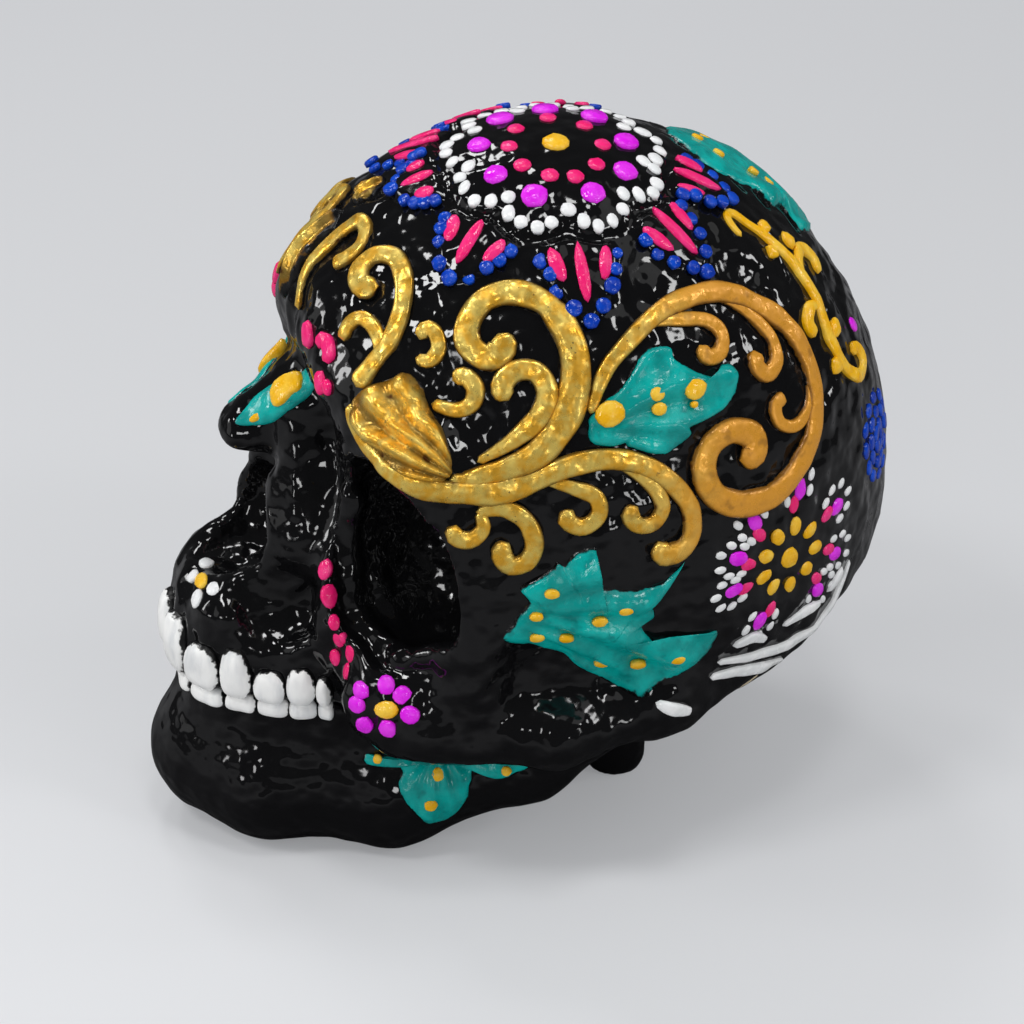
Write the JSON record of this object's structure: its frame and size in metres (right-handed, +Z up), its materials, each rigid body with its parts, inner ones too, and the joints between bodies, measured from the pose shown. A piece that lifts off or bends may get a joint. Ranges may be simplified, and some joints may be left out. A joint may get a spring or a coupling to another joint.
{
  "type": "painted sugar skull",
  "caption": "Free-standing black lacquered sugar skull with closed white teeth, raised gold scrolls and raised green leaves, for seasonal display.",
  "frame": {"origin": "middle of the bounding box, on the surface that the skull stands on", "axes": "+Z up, the face looks along -Y, the skull's own left side is +X"},
  "size_m": [0.1078, 0.1542, 0.1422],
  "materials": {
    "black_lacquer": "thick gloss lacquer over cast resin",
    "tooth_white": "matte white paint",
    "gold": "gold leaf and gilt paint over resin",
    "leaf_green": "satin blue-green paint"
  },
  "bodies": {
    "root": {"brow_curl_left": "gold", "brow_curl_right": "gold", "brow_leaf_left": "gold", "brow_leaf_right": "gold", "cranium": "black_lacquer", "crest_blade": "gold", "crest_loop_left": "gold", "crest_loop_right": "gold", "crest_top": "gold", "crown_leaf": "leaf_green", "ear_leaf_left": "leaf_green", "ear_leaf_right": "leaf_green", "forehead_scroll_left": "gold", "forehead_scroll_right": "gold", "hook_scroll_left": "gold", "hook_scroll_right": "gold", "jaw": "black_lacquer", "jaw_leaf_left": "leaf_green", "jaw_leaf_right": "leaf_green", "lower_canine_left": "tooth_white", "lower_canine_right": "tooth_white", "lower_incisor_1_left": "tooth_white", "lower_incisor_1_right": "tooth_white", "lower_incisor_2_left": "tooth_white", "lower_incisor_2_right": "tooth_white", "lower_molar_1_left": "tooth_white", "lower_molar_1_right": "tooth_white", "lower_premolar_1_left": "tooth_white", "lower_premolar_1_right": "tooth_white", "lower_premolar_2_left": "tooth_white", "lower_premolar_2_right": "tooth_white", "lower_scroll_left": "gold", "lower_scroll_right": "gold", "nose_leaf_left": "leaf_green", "nose_leaf_right": "leaf_green", "ring_scroll_left": "gold", "ring_scroll_right": "gold", "temple_leaf_left": "leaf_green", "temple_leaf_right": "leaf_green", "temple_scroll_left": "gold", "temple_scroll_right": "gold", "upper_canine_left": "tooth_white", "upper_canine_right": "tooth_white", "upper_curl_left": "gold", "upper_curl_right": "gold", "upper_incisor_1_left": "tooth_white", "upper_incisor_1_right": "tooth_white", "upper_incisor_2_left": "tooth_white", "upper_incisor_2_right": "tooth_white", "upper_molar_1_left": "tooth_white", "upper_molar_1_right": "tooth_white", "upper_premolar_1_left": "tooth_white", "upper_premolar_1_right": "tooth_white", "upper_premolar_2_left": "tooth_white", "upper_premolar_2_right": "tooth_white"}
  },
  "joints": []
}
